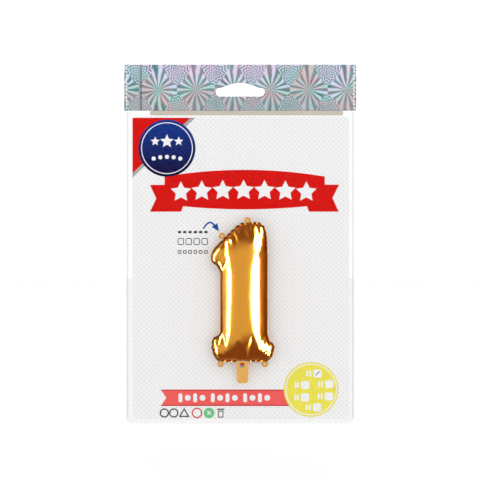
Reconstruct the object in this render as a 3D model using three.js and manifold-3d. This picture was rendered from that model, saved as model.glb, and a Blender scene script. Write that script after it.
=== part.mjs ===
// A small air-filled foil balloon in the shape of the number 1, lying on its card in a clear bag with
// a holographic hanging header. Millimetres, +Z up, the front faces -Y, and the origin is the top of
// the hang slot, where the shop's peg bears, midway through the header's thickness.
import * as THREE from "three";
import { mergeVertices } from "three/addons/utils/BufferGeometryUtils.js";
import Module from "manifold-3d";

// Films and gaps. Every film is thicker than life, so that it is a solid; neighbours stay a gap apart.
const FILM = 0.3;
const GAP = 0.3;

// Header: two holographic layers with a slot for the peg.
const HEADER_WIDTH = 150;
const HEADER_TOP = 11.6;
const HEADER_BOTTOM = -18;
const SLOT_HALF_WIDTH = 15.8;
const SLOT_DEPTH = 9;
const SLOT_CORNER = 2.9;
const SLOT_SHOULDER_X = 11.5;
const SLOT_SHOULDER_Z = -2.9;
const SLOT_SHOULDER_DROP = 0.7;
const SLOT_PEAK_HALF_WIDTH = 1.8;
const TONGUE_TOP = -13;

// Bag and card. BACK_Y is the middle of the back film and of the header.
const BACK_Y = 0;
const BAG_HALF_WIDTH = 73.7;
const BAG_BOTTOM = -220.2;
const BAG_TOP = HEADER_BOTTOM - GAP;
const MOUTH_CLEARANCE = 0.8;
const MOUTH_TOP = HEADER_BOTTOM - MOUTH_CLEARANCE;
const MOUTH_FOLD = -21.35;
const TAPE_LEFT = -58.3;
const TAPE_RIGHT = 66.5;
const CARD_WIDTH = 140;
const CARD_CENTRE_X = 0.4;
const CARD_TOP = -22;
const CARD_BOTTOM = -217.6;
const CARD_THICKNESS = 0.5;

// Balloon. Its own origin is the middle of its base, on the seam between its two films.
const BALLOON_X = 2.1;
const BALLOON_Z = -179.6;
const SEAM_Y = -6.6;
const SEAM_WIDTH = 1.2;
const FRONT_BULGE = 8.4;
const BACK_BULGE = 4.8;
const ROUNDING = 13.2;
const SEAM_FILM_OFFSET = GAP / 2;
const BALLOON_COLUMNS = 14;

// Tail, valve and hanging tabs, in the balloon's own frame.
const TAIL_X = -0.6;
const TAIL_WIDTH = 7.4;
const TAIL_LENGTH = 13.8;
const TAIL_CORNER = 2;
const VALVE_WIDTH = 5.6;
const VALVE_ABOVE = 9;
const VALVE_BELOW = 9.5;
const NECK_DEPTH = 3.6;
const NECK_HEIGHT = 8;
const LABEL_RADIUS = 1.6;
const LABEL_X = -0.2;
const LABEL_Z = -2.2;
const TAB_RADIUS = 2.1;
const TAB_CENTRE = 1.3;
const TAB_HOLE_RADIUS = 0.7;
const TABS = [
  { name: "hanging_tab_top", x: 2.6, z: 89, turn: 0 },
  { name: "hanging_tab_flag", x: -12.7, z: 79.4, turn: -43 },
  { name: "hanging_tab_base_left", x: -14.6, z: 0, turn: 180 },
  { name: "hanging_tab_base_right", x: 13.9, z: 0, turn: 180 },
];

const CURVE_SEGMENTS = 10;

const FOIL = { color: 0xd9961a, roughness: 0.2, metalness: 1 };
const CLEAR = { color: 0xeef2f2, roughness: 0.12, metalness: 0, transparent: true, opacity: 0.25 };
const HOLOGRAM = { color: 0x9fb3b4, roughness: 0.25, metalness: 0.8 };

const wasm = await Module();
wasm.setup();

function piece(name, geometry, look) {
  const mesh = new THREE.Mesh(geometry, new THREE.MeshStandardMaterial(look));
  mesh.name = name;
  return mesh;
}

// A flat piece: the shape's own x and y become X and Z, and it reaches forward from backY by thickness.
function flatPiece(name, shape, backY, thickness, look) {
  const geometry = new THREE.ExtrudeGeometry(shape, {
    depth: thickness,
    bevelEnabled: false,
    curveSegments: CURVE_SEGMENTS,
  });
  geometry.rotateX(Math.PI / 2);
  geometry.translate(0, backY, 0);
  return piece(name, geometry, look);
}

function rectangle(left, right, bottom, top) {
  return new THREE.Shape([
    new THREE.Vector2(left, bottom),
    new THREE.Vector2(right, bottom),
    new THREE.Vector2(right, top),
    new THREE.Vector2(left, top),
  ]);
}

// A closed sheet over a grid of points. pointAt(i, j) gives {x, z, front, back} with front < back.
function gridSheet(rows, columns, pointAt) {
  const position = [];
  const index = [];
  const stride = columns + 1;
  const layer = (rows + 1) * stride;
  for (const side of ["front", "back"]) {
    for (let i = 0; i <= rows; i++) {
      for (let j = 0; j <= columns; j++) {
        const p = pointAt(i, j);
        position.push(p.x, p[side], p.z);
      }
    }
  }
  const quad = (a, b, c, d) => index.push(a, b, c, a, c, d);
  for (let i = 0; i < rows; i++) {
    for (let j = 0; j < columns; j++) {
      const a = i * stride + j;
      quad(a, a + stride, a + stride + 1, a + 1);
      quad(layer + a, layer + a + 1, layer + a + stride + 1, layer + a + stride);
    }
  }
  const wall = (a, b) => quad(a, b, b + layer, a + layer);
  for (let j = 0; j < columns; j++) {
    wall(j, j + 1);
    wall(rows * stride + j + 1, rows * stride + j);
  }
  for (let i = 0; i < rows; i++) {
    wall((i + 1) * stride, i * stride);
    wall(i * stride + columns, (i + 1) * stride + columns);
  }
  const geometry = new THREE.BufferGeometry();
  geometry.setAttribute("position", new THREE.Float32BufferAttribute(position, 3));
  geometry.setIndex(index);
  geometry.computeVertexNormals();
  return geometry;
}

function solidOf(geometry) {
  const bare = geometry.clone();
  bare.deleteAttribute("normal");
  bare.deleteAttribute("uv");
  const merged = mergeVertices(bare, 1e-4);
  return new wasm.Manifold(
    new wasm.Mesh({
      numProp: 3,
      vertProperties: new Float32Array(merged.attributes.position.array),
      triVerts: new Uint32Array(merged.index.array),
    }),
  );
}

function cut(geometry, tool) {
  const mesh = solidOf(geometry).subtract(solidOf(tool)).getMesh();
  const result = new THREE.BufferGeometry();
  result.setAttribute("position", new THREE.BufferAttribute(mesh.vertProperties, 3));
  result.setIndex(new THREE.BufferAttribute(mesh.triVerts, 1));
  result.computeVertexNormals();
  return result;
}

const clamp01 = (value) => Math.min(1, Math.max(0, value));
const smooth = (value) => clamp01(value) ** 2 * (3 - 2 * clamp01(value));

// ---- header ----

function slotPath() {
  const path = new THREE.Path();
  const flatEnd = SLOT_HALF_WIDTH - SLOT_CORNER;
  const cornerZ = -SLOT_DEPTH + SLOT_CORNER;
  path.moveTo(-flatEnd, -SLOT_DEPTH);
  path.lineTo(flatEnd, -SLOT_DEPTH);
  path.absarc(flatEnd, cornerZ, SLOT_CORNER, -Math.PI / 2, 0, false);
  const turnZ = SLOT_SHOULDER_Z - SLOT_SHOULDER_DROP;
  path.quadraticCurveTo(SLOT_HALF_WIDTH, turnZ, SLOT_SHOULDER_X, SLOT_SHOULDER_Z);
  path.quadraticCurveTo(2 * SLOT_PEAK_HALF_WIDTH, 0, SLOT_PEAK_HALF_WIDTH, 0);
  path.lineTo(-SLOT_PEAK_HALF_WIDTH, 0);
  path.quadraticCurveTo(-2 * SLOT_PEAK_HALF_WIDTH, 0, -SLOT_SHOULDER_X, SLOT_SHOULDER_Z);
  path.quadraticCurveTo(-SLOT_HALF_WIDTH, turnZ, -SLOT_HALF_WIDTH, cornerZ);
  path.absarc(-flatEnd, cornerZ, SLOT_CORNER, Math.PI, 1.5 * Math.PI, false);
  return path;
}

function header() {
  const group = new THREE.Group();
  const shape = rectangle(-HEADER_WIDTH / 2, HEADER_WIDTH / 2, HEADER_BOTTOM, HEADER_TOP);
  shape.holes.push(slotPath());
  const backOfFront = BACK_Y - FILM / 2 - GAP;
  const backOfBack = BACK_Y + FILM / 2 + GAP + FILM;
  group.add(flatPiece("header_front_film", shape, backOfFront, FILM, HOLOGRAM));
  group.add(flatPiece("header_back_film", shape, backOfBack, FILM, HOLOGRAM));
  const tongue = rectangle(-BAG_HALF_WIDTH, BAG_HALF_WIDTH, HEADER_BOTTOM + GAP / 2, TONGUE_TOP);
  group.add(flatPiece("header_weld_tongue", tongue, BACK_Y + FILM / 2, FILM, CLEAR));
  return group;
}

// ---- bag, its mouth and the card ----

const CARD_BACK_Y = BACK_Y - FILM / 2 - GAP;
const CARD_FRONT_Y = CARD_BACK_Y - CARD_THICKNESS;
const FILM_ON_CARD_Y = CARD_FRONT_Y - GAP;
const WELD_FILM_Y = BACK_Y - FILM / 2 - GAP;
const BULGE_HALF_WIDTH = 24;
const BULGE_TOP = -84;
const BULGE_BOTTOM = -186;
const EDGE_WELD = 2;
const EDGE_STEP = 1.3;
const BULGE_TO_MOUTH = 1;
const FRONT_FILM_COLUMNS = 16;
const FRONT_FILM_ROWS = 20;

// The back face of the front film: flat in the welds, just clear of the card, and out over the balloon.
function frontFilmBack(x, z) {
  const edge = Math.min(BAG_HALF_WIDTH - Math.abs(x), z - BAG_BOTTOM);
  const onCard = smooth((edge - EDGE_WELD / 2) / EDGE_STEP);
  const inner = BAG_HALF_WIDTH - EDGE_WELD - EDGE_STEP;
  const across = smooth((inner - Math.abs(x)) / (inner - BULGE_HALF_WIDTH));
  const flatTop = MOUTH_FOLD - BULGE_TO_MOUTH;
  const down = smooth((flatTop - z) / (flatTop - BULGE_TOP));
  const up = smooth((z - BAG_BOTTOM - EDGE_WELD) / (BULGE_BOTTOM - BAG_BOTTOM - EDGE_WELD));
  const bulge = SEAM_Y - SEAM_FILM_OFFSET - FILM - FRONT_BULGE - GAP - FILM_ON_CARD_Y;
  return WELD_FILM_Y + (FILM_ON_CARD_Y - WELD_FILM_Y) * onCard + bulge * across * down * up;
}

// Grid lines over a span: one at each edge, close ones beside it, and even ones between.
function gridLines(from, to, count, margins) {
  const inside = margins[margins.length - 1];
  const lines = [from, ...margins.map((margin) => from + margin)];
  for (let i = 1; i < count; i++) lines.push(from + inside + ((to - from - 2 * inside) * i) / count);
  return [...lines, ...[...margins].reverse().map((margin) => to - margin), to];
}

function frontFilm() {
  const margins = [EDGE_WELD / 2, EDGE_WELD / 2 + EDGE_STEP];
  const xs = gridLines(-BAG_HALF_WIDTH, BAG_HALF_WIDTH, FRONT_FILM_COLUMNS, margins);
  const zs = gridLines(BAG_BOTTOM, MOUTH_FOLD - GAP / 2, FRONT_FILM_ROWS, margins).reverse();
  return gridSheet(zs.length - 1, xs.length - 1, (i, j) => {
    const back = frontFilmBack(xs[j], zs[i]);
    return { x: xs[j], z: zs[i], front: back - FILM, back };
  });
}

function bag() {
  const group = new THREE.Group();
  const w = BAG_HALF_WIDTH;
  const back = rectangle(-w, w, BAG_BOTTOM, BAG_TOP);
  group.add(flatPiece("bag_back_film", back, BACK_Y + FILM / 2, FILM, CLEAR));
  group.add(piece("bag_front_film", frontFilm(), CLEAR));
  const lipBottom = MOUTH_FOLD + GAP / 2;
  const tape = rectangle(TAPE_LEFT, TAPE_RIGHT, lipBottom, MOUTH_TOP);
  group.add(
    flatPiece("seal_tape", tape, WELD_FILM_Y, FILM, { color: 0xd8cdb2, roughness: 0.45, metalness: 0 }),
  );
  const lip = rectangle(-w, w, lipBottom, MOUTH_TOP);
  group.add(flatPiece("mouth_lip", lip, WELD_FILM_Y - FILM - GAP, FILM, CLEAR));
  const left = CARD_CENTRE_X - CARD_WIDTH / 2;
  const card = rectangle(left, left + CARD_WIDTH, CARD_BOTTOM, CARD_TOP);
  const paper = { color: 0xf4f4f2, roughness: 0.55, metalness: 0 };
  group.add(flatPiece("insert_card", card, CARD_BACK_Y, CARD_THICKNESS, paper));
  return group;
}

// ---- balloon ----

const spline = (points) => new THREE.SplineCurve(points.map(([x, z]) => new THREE.Vector2(x, z)));

// The number 1 in three stretches from the top down. Each has a left edge and a right edge.
const STRETCHES = [
  {
    rows: 18,
    ease: 1.5,
    left: spline([
      [2, 89],
      [-3, 87.5],
      [-12.4, 78.8],
      [-19.6, 70.6],
      [-20.2, 64.5],
      [-16.8, 61.4],
      [-14.5, 57],
    ]),
    right: spline([[10.1, 89], [13.4, 86], [14.8, 80], [15.3, 70], [15.3, 57]]),
  },
  {
    rows: 6,
    ease: 1,
    left: spline([[-14.5, 57], [-14.5, 19.5]]),
    right: spline([[15.3, 57], [15.3, 17.5]]),
  },
  {
    rows: 14,
    ease: 1 / 1.5,
    left: spline([[-14.5, 19.5], [-15.6, 16.8], [-19.4, 14.4], [-20, 8], [-17.8, 2.4], [-15, 0]]),
    right: spline([[15.3, 17.5], [16.8, 13], [19.6, 10.6], [19.2, 6], [17.6, 2.4], [14.5, 0]]),
  },
];

// The two edges as matching lists of points, one pair to a row of the grid.
function outlineRows() {
  const rows = [{ left: STRETCHES[0].left.getPoint(0), right: STRETCHES[0].right.getPoint(0) }];
  for (const { rows: count, ease, left, right } of STRETCHES) {
    for (let i = 1; i <= count; i++) {
      const t = ease < 1 ? 1 - (1 - i / count) ** (1 / ease) : (i / count) ** ease;
      rows.push({ left: left.getPointAt(t), right: right.getPointAt(t) });
    }
  }
  return rows;
}

function distanceTo(point, outline) {
  let nearest = Infinity;
  for (let i = 0; i < outline.length; i++) {
    const a = outline[i];
    const along = outline[(i + 1) % outline.length].clone().sub(a);
    const share = clamp01(point.clone().sub(a).dot(along) / along.lengthSq());
    nearest = Math.min(nearest, along.multiplyScalar(share).add(a).distanceTo(point));
  }
  return nearest;
}

// One film of the balloon: flat in the seam, and swelling by bulge towards side (-1 front, 1 back).
function balloonFilm(bulge, side) {
  const rows = outlineRows();
  const outline = [...rows.map((row) => row.left), ...rows.map((row) => row.right).reverse()];
  return gridSheet(rows.length - 1, BALLOON_COLUMNS, (i, j) => {
    const share = (1 - Math.cos((Math.PI * j) / BALLOON_COLUMNS)) / 2;
    const point = rows[i].left.clone().lerp(rows[i].right, share);
    const inside = clamp01((distanceTo(point, outline) - SEAM_WIDTH) / ROUNDING);
    const swell = bulge * Math.sqrt(1 - (1 - inside) ** 2);
    const near = side * (SEAM_FILM_OFFSET + swell);
    const far = near + side * FILM;
    return { x: point.x, z: point.y, front: Math.min(near, far), back: Math.max(near, far) };
  });
}

// The tail and the valve pass through the bottom seam here, where the films aren't sealed together.
function neckOpening() {
  const opening = new THREE.BoxGeometry(VALVE_WIDTH + 4 * GAP, NECK_DEPTH, NECK_HEIGHT);
  opening.translate(TAIL_X, 0, 0);
  return opening;
}

function hangingTab({ name, x, z, turn }) {
  const shape = new THREE.Shape();
  const root = GAP;
  const reach = Math.asin((root - TAB_CENTRE) / TAB_RADIUS);
  shape.absarc(0, TAB_CENTRE, TAB_RADIUS, reach, Math.PI - reach, false);
  const hole = new THREE.Path();
  hole.absarc(0, TAB_CENTRE, TAB_HOLE_RADIUS, 0, 2 * Math.PI, true);
  shape.holes.push(hole);
  const thickness = 2 * FILM + GAP;
  const tab = flatPiece(name, shape, thickness / 2, thickness, FOIL);
  tab.position.set(x, 0, z);
  tab.rotation.y = THREE.MathUtils.degToRad(turn);
  return tab;
}

function tailShape() {
  const shape = new THREE.Shape();
  const half = TAIL_WIDTH / 2;
  shape.moveTo(-half, -GAP);
  shape.lineTo(-half, -TAIL_LENGTH + TAIL_CORNER);
  shape.absarc(-half + TAIL_CORNER, -TAIL_LENGTH + TAIL_CORNER, TAIL_CORNER, Math.PI, 1.5 * Math.PI, false);
  shape.absarc(half - TAIL_CORNER, -TAIL_LENGTH + TAIL_CORNER, TAIL_CORNER, -Math.PI / 2, 0, false);
  shape.lineTo(half, -GAP);
  return shape;
}

function tail() {
  const group = new THREE.Group();
  group.position.x = TAIL_X;
  const valve = rectangle(-VALVE_WIDTH / 2, VALVE_WIDTH / 2, -VALVE_BELOW, VALVE_ABOVE);
  const valveBack = GAP / 2 + FILM;
  const tailBack = valveBack + GAP + FILM;
  const plastic = { color: 0xe8e4d8, roughness: 0.3, metalness: 0 };
  group.add(flatPiece("valve_back_film", valve, valveBack, FILM, plastic));
  group.add(flatPiece("valve_front_film", valve, -GAP / 2, FILM, plastic));
  group.add(flatPiece("tail_back_film", tailShape(), tailBack, FILM, FOIL));
  group.add(flatPiece("tail_front_film", tailShape(), FILM - tailBack, FILM, FOIL));
  const label = new THREE.Shape();
  label.absarc(LABEL_X, LABEL_Z, LABEL_RADIUS, 0, 2 * Math.PI, false);
  const red = { color: 0xc83228, roughness: 0.4, metalness: 0 };
  group.add(flatPiece("valve_label", label, -tailBack - GAP, FILM, red));
  return group;
}

function balloon() {
  const group = new THREE.Group();
  group.position.set(BALLOON_X, SEAM_Y, BALLOON_Z);
  const neck = neckOpening();
  group.add(piece("balloon_front_film", cut(balloonFilm(FRONT_BULGE, -1), neck), FOIL));
  group.add(piece("balloon_back_film", cut(balloonFilm(BACK_BULGE, 1), neck), FOIL));
  group.add(...TABS.map(hangingTab), tail());
  return group;
}

const packedBalloon = new THREE.Group();
packedBalloon.add(header(), bag(), balloon());

export default packedBalloon;
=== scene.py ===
import math

import bmesh
import bpy
import numpy as np
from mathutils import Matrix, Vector, noise
from mathutils.geometry import delaunay_2d_cdt


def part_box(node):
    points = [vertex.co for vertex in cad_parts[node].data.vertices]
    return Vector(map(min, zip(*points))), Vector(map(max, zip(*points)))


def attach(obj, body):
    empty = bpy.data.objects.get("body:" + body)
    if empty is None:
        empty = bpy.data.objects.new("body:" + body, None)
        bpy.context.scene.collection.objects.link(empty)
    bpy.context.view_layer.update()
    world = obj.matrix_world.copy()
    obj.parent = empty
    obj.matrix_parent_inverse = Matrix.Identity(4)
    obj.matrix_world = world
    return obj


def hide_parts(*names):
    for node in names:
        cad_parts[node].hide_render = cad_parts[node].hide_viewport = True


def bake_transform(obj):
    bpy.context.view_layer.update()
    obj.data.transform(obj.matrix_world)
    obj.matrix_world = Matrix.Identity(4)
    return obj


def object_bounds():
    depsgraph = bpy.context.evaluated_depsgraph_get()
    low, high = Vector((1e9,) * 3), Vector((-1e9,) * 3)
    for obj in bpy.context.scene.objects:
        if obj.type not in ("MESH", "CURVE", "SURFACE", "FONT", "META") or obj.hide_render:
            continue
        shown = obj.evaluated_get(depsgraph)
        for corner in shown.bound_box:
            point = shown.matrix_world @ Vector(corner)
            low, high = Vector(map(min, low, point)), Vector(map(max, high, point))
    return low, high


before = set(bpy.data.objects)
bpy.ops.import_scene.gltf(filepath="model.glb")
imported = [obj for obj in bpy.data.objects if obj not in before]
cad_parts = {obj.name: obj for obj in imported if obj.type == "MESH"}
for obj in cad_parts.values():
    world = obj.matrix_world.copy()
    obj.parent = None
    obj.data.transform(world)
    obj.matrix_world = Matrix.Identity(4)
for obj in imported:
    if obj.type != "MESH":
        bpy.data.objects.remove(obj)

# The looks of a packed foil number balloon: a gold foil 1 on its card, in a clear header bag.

CAD_LOW, CAD_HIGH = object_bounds()
MM = 0.001

# ---- places, in millimetres, worked out from the frame ----


def box_mm(node):
    low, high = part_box(node)
    return np.array(low) / MM, np.array(high) / MM


HEADER_LOW, HEADER_HIGH = box_mm("header_front_film")
BAG_LOW, BAG_HIGH = box_mm("bag_back_film")
FRONT_LOW, FRONT_HIGH = box_mm("bag_front_film")
CARD_LOW, CARD_HIGH = box_mm("insert_card")
LIP_LOW, LIP_HIGH = box_mm("mouth_lip")
TAPE_LOW, TAPE_HIGH = box_mm("seal_tape")
FOIL_LOW, FOIL_HIGH = box_mm("balloon_front_film")
REAR_LOW, REAR_HIGH = box_mm("balloon_back_film")
TAIL_LOW, TAIL_HIGH = box_mm("tail_front_film")
VALVE_LOW, VALVE_HIGH = box_mm("valve_front_film")
LABEL_LOW, LABEL_HIGH = box_mm("valve_label")

SEAM_Y = (FOIL_HIGH[1] + REAR_LOW[1]) / 2
FILM = 0.07  # the thickness that the films are drawn at
CREASE_Z = (HEADER_LOW[2] + BAG_HIGH[2]) / 2

# The number 1, in its own millimetres: x from its middle, z up from its base.
FLAG_SIDE = [(2, 89), (-3, 87.5), (-12.4, 78.8), (-19.6, 70.6), (-20.2, 64.5), (-16.8, 61.4), (-14.5, 57)]
CROWN_SIDE = [(10.1, 89), (13.4, 86), (14.8, 80), (15.3, 70), (15.3, 57)]
LEFT_FOOT = [(-14.5, 19.5), (-15.6, 16.8), (-19.4, 14.4), (-20, 8), (-17.8, 2.4), (-15, 0)]
RIGHT_FOOT = [(15.3, 17.5), (16.8, 13), (19.6, 10.6), (19.2, 6), (17.6, 2.4), (14.5, 0)]
SHAFT_MIDDLE = 0.4
SHAFT_HALF = 14.9
ORIGIN_X = (FOIL_LOW[0] + FOIL_HIGH[0]) / 2 + 0.3
ORIGIN_Z = FOIL_LOW[2]
TAIL_X = (TAIL_LOW[0] + TAIL_HIGH[0]) / 2

# ---- small geometry ----


def smooth(t):
    t = np.clip(t, 0, 1)
    return t * t * (3 - 2 * t)


def catmull(points, steps=16):
    """A smooth curve through the points."""
    p = np.array(points, float)
    p = np.vstack([p[:1], p, p[-1:]])
    t = (np.arange(steps) / steps)[:, None]
    spans = []
    for a, b, c, d in zip(p, p[1:], p[2:], p[3:]):
        v, w = (c - a) / 2, (d - b) / 2
        spans.append((2 * b - 2 * c + v + w) * t**3 + (3 * c - 3 * b - 2 * v - w) * t**2 + v * t + b)
    return np.vstack([*spans, p[-1:]])


def polar(x, z, radius, angles):
    """Points round a middle, at angles in radians."""
    return np.stack([x + radius * np.cos(angles), z + radius * np.sin(angles)], 1)


def circle(x, z, radius, count=48):
    return polar(x, z, radius, np.arange(count) * 2 * math.pi / count)


def arc(x, z, radius, start, end, count=24):
    return polar(x, z, radius, np.radians(np.linspace(start, end, count)))


def star(x, z, radius, points=5, inner=0.46, turn=90):
    tips = np.arange(2 * points)
    return polar(x, z, radius * np.where(tips % 2, inner, 1), np.radians(turn + tips * 180 / points))


def rectangle(left, right, bottom, top):
    return np.array([(left, bottom), (right, bottom), (right, top), (left, top)], float)


def rounded(left, right, bottom, top, radius, count=6):
    """A rectangle with round corners."""
    x = (right - radius, right - radius, left + radius, left + radius)
    z = (bottom + radius, top - radius, top - radius, bottom + radius)
    starts = (-90, 0, 90, 180)
    corners = [arc(cx, cz, radius, a, a + 90, count) for cx, cz, a in zip(x, z, starts)]
    return np.vstack(corners)


def walk(loop, step):
    """The closed loop's points at even steps along it, and each one's place in the loop."""
    closed = np.vstack([loop, loop[:1]])
    s = np.r_[0, np.cumsum(np.linalg.norm(np.diff(closed, axis=0), axis=1))]
    keep = np.r_[True, np.diff(s) > 1e-7]
    along = np.linspace(0, s[-1], max(3, round(s[-1] / step)), endpoint=False)
    place = np.interp(along, s[keep], np.arange(len(closed))[keep])
    return at(loop, place), place


def at(loop, place):
    closed = np.vstack([loop, loop[:1]])
    count = np.arange(len(closed))
    return np.stack([np.interp(place, count, closed[:, k]) for k in (0, 1)], 1)


def within(points, loop):
    """Which points lie inside the closed loop."""
    x, z = points[:, 0], points[:, 1]
    odd = np.zeros(len(points), bool)
    for (ax, az), (bx, bz) in zip(loop, np.roll(loop, 1, 0)):
        if az != bz:
            odd ^= ((az > z) != (bz > z)) & (x < (bx - ax) * (z - az) / (bz - az) + ax)
    return odd


def in_sheet(points, loops):
    """Which points lie inside the first loop and outside the others."""
    keep = within(points, loops[0])
    for hole in loops[1:]:
        keep &= ~within(points, hole)
    return keep


def lattice(loops, spacing, margin):
    """Points of a triangular lattice inside the first loop and outside the others."""
    low, high = loops[0].min(0), loops[0].max(0)
    rows = np.arange(low[1], high[1], spacing * math.sqrt(3) / 2)
    points = []
    for i, z in enumerate(rows):
        x = np.arange(low[0] + (spacing / 2 if i % 2 else 0), high[0], spacing)
        points.append(np.stack([x, np.full(len(x), z)], 1))
    points = np.vstack(points)
    points = points[in_sheet(points, loops)]
    rim = np.vstack(loops)
    near = np.array([np.min(np.hypot(*(rim - p).T)) for p in points])
    return points[near > margin]


def triangulate(loops, spacing=None):
    """Points and triangles that fill the first loop, around the others. The loops' points come first."""
    inner = np.empty((0, 2)) if spacing is None else lattice(loops, spacing, 0.6 * spacing)
    points = np.vstack([*loops, inner])
    edges = []
    start = 0
    for loop in loops:
        n = len(loop)
        edges += [(start + i, start + (i + 1) % n) for i in range(n)]
        start += n
    made = delaunay_2d_cdt([Vector(p) for p in points], edges, [], 1, 1e-6)
    flat = np.array([v[:] for v in made[0]])
    faces = np.array(made[2])
    return flat, faces[in_sheet(flat[faces].mean(1), loops)]


def facing_front(flat, faces):
    """The triangles turned so that they face -Y."""
    a, b, c = (flat[faces[:, k]] for k in range(3))
    area = (b[:, 0] - a[:, 0]) * (c[:, 1] - a[:, 1]) - (c[:, 0] - a[:, 0]) * (b[:, 1] - a[:, 1])
    return np.where(area[:, None] > 0, faces, faces[:, ::-1])


def grid_faces(rows, columns):
    """The quads of a grid whose points are numbered row by row."""
    i, j = np.meshgrid(np.arange(rows - 1), np.arange(columns - 1), indexing="ij")
    a = (i * columns + j).ravel()
    return np.stack([a, a + 1, a + columns + 1, a + columns], 1)


def ring_faces(rings, count):
    """The quads between closed rings of count points each."""
    i, j = np.meshgrid(np.arange(rings - 1) * count, np.arange(count), indexing="ij")
    after = (j + 1) % count
    return np.stack([i + j, i + after, i + count + after, i + count + j], -1).reshape(-1, 4)


def only_used(points, faces):
    """The points that the faces use, and the faces numbered to match."""
    used = np.unique(faces)
    order = np.full(len(points), -1)
    order[used] = np.arange(len(used))
    return points[used], order[faces]


def rim_edges(faces):
    """The directed edges that only one triangle has."""
    found = {}
    for f in faces:
        for i in range(3):
            a, b = int(f[i]), int(f[(i + 1) % 3])
            if found.pop((b, a), None) is None:
                found[(a, b)] = True
    return list(found)


def new_object(name, points_mm, faces, material, shade_smooth=True):
    mesh = bpy.data.meshes.new(name)
    mesh.from_pydata((np.asarray(points_mm) * MM).tolist(), [], [list(map(int, f)) for f in faces])
    mesh.validate()
    mesh.polygons.foreach_set("use_smooth", [shade_smooth] * len(mesh.polygons))
    mesh.materials.append(material)
    piece = bpy.data.objects.new(name, mesh)
    bpy.context.scene.collection.objects.link(piece)
    return piece


SHARP = math.radians(55)


def thick_sheet(name, flat, faces, y, thickness, material, shade_smooth=True):
    """A thin closed piece: its front follows y at each point, and its back lies thickness behind."""
    faces = facing_front(flat, faces)
    n = len(flat)
    y = np.broadcast_to(y, n)
    front = np.stack([flat[:, 0], y, flat[:, 1]], 1)
    back = front + (0, thickness, 0)
    walls = [(a, a + n, b + n, b) for a, b in rim_edges(faces)]
    both = [*faces.tolist(), *(faces[:, ::-1] + n).tolist(), *walls]
    piece = new_object(name, np.vstack([front, back]), both, material, shade_smooth)
    piece.data.set_sharp_from_angle(angle=SHARP)
    return piece


def filled_sheet(name, loops, spacing, y, thickness, material, shade_smooth=True):
    """A thin closed piece that fills the first loop, around the others."""
    flat, faces = triangulate(loops, spacing)
    return thick_sheet(name, flat, faces, y, thickness, material, shade_smooth)


def declare(piece, body, slot, *nodes):
    """The piece rides on the body and stands for the CAD nodes, which it hides. The slot is not used."""
    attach(piece, body)
    if nodes:
        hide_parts(*nodes)
    return piece


def declare_blend(piece, bodies, start, end, slot, *nodes):
    """Bakes the piece's placing into its mesh and hides the CAD nodes. The bodies, start, end and slot are
    not used.
    """
    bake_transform(piece)
    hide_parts(*nodes)


def on_axis(z):
    """The point at height z on the pack's middle line, in metres."""
    return Vector((0, 0, z)) * MM


# ---- materials ----


class Nodes:
    """A node tree, built by short calls."""

    def __init__(self, tree):
        self.tree = tree

    def node(self, kind, *sockets, **settings):
        made = self.tree.nodes.new("ShaderNode" + kind)
        for key, value in settings.items():
            setattr(made, key, value)
        for socket, value in zip(made.inputs, sockets):
            self.set(socket, value)
        return made

    def set(self, socket, value):
        if isinstance(value, bpy.types.NodeSocket):
            self.tree.links.new(value, socket)
        elif value is not None:
            socket.default_value = value

    def math(self, operation, a, b=0.0, c=0.0):
        return self.node("Math", a, b, c, operation=operation).outputs[0]

    def plus(self, a, b):
        return self.math("ADD", a, b)

    def minus(self, a, b):
        return self.math("SUBTRACT", a, b)

    def times(self, a, b):
        return self.math("MULTIPLY", a, b)

    def linear(self, value, factor, offset):
        return self.math("MULTIPLY_ADD", value, factor, offset)

    def vector(self, operation, a, b):
        return self.node("VectorMath", a, b, operation=operation).outputs[0]

    def ramp(self, value, *stops):
        made = self.node("ValToRGB", value)
        elements = made.color_ramp.elements
        while len(elements) < len(stops):
            elements.new(0.5)
        for element, (position, colour) in zip(elements, stops):
            element.position = position
            element.color = (*colour, 1)
        return made.outputs[0]

    def mix(self, factor, a, b):
        made = self.node("Mix", data_type="RGBA")
        for index, value in ((0, factor), (6, a), (7, b)):
            if isinstance(value, tuple):
                value = (*value, 1)
            self.set(made.inputs[index], value)
        return made.outputs[2]


class Shader(Nodes):
    """A material with a Principled surface, and textures in the object's own coordinates."""

    def __init__(self, name):
        self.material = bpy.data.materials.new(name)
        self.material.use_nodes = True
        super().__init__(self.material.node_tree)
        self.surface = self.tree.nodes["Principled BSDF"]
        self.output = self.tree.nodes["Material Output"]
        self.place = self.node("TexCoord").outputs["Object"]

    def principled(self, **sockets):
        names = {socket.name.lower(): socket for socket in self.surface.inputs}
        for key, value in sockets.items():
            if isinstance(value, tuple) and len(value) == 3:
                value = (*value, 1)
            self.set(names[key.replace("_", " ")], value)

    def noise(self, scale, detail=2.0, place=None, stretch=None):
        source = self.place if place is None else place
        if stretch:
            source = self.vector("MULTIPLY", source, stretch)
        made = self.node("TexNoise")
        for key, value in (("Vector", source), ("Scale", scale), ("Detail", detail)):
            self.set(made.inputs[key], value)
        return made.outputs["Fac"]

    def bump(self, height, strength, distance):
        made = self.node("Bump")
        for key, value in (("Strength", strength), ("Distance", distance), ("Height", height)):
            self.set(made.inputs[key], value)
        self.set(self.surface.inputs["Normal"], made.outputs[0])

    def relief(self, scale, strength, distance, detail=2.0):
        """A fine random relief."""
        self.bump(self.noise(scale, detail), strength, distance)

    def roughness(self, scale, low, high, detail=2.0):
        """Roughness that varies at random between low and high."""
        self.principled(roughness=self.linear(self.noise(scale, detail), high - low, low))


INK_GLOSS = 0.05


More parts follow.
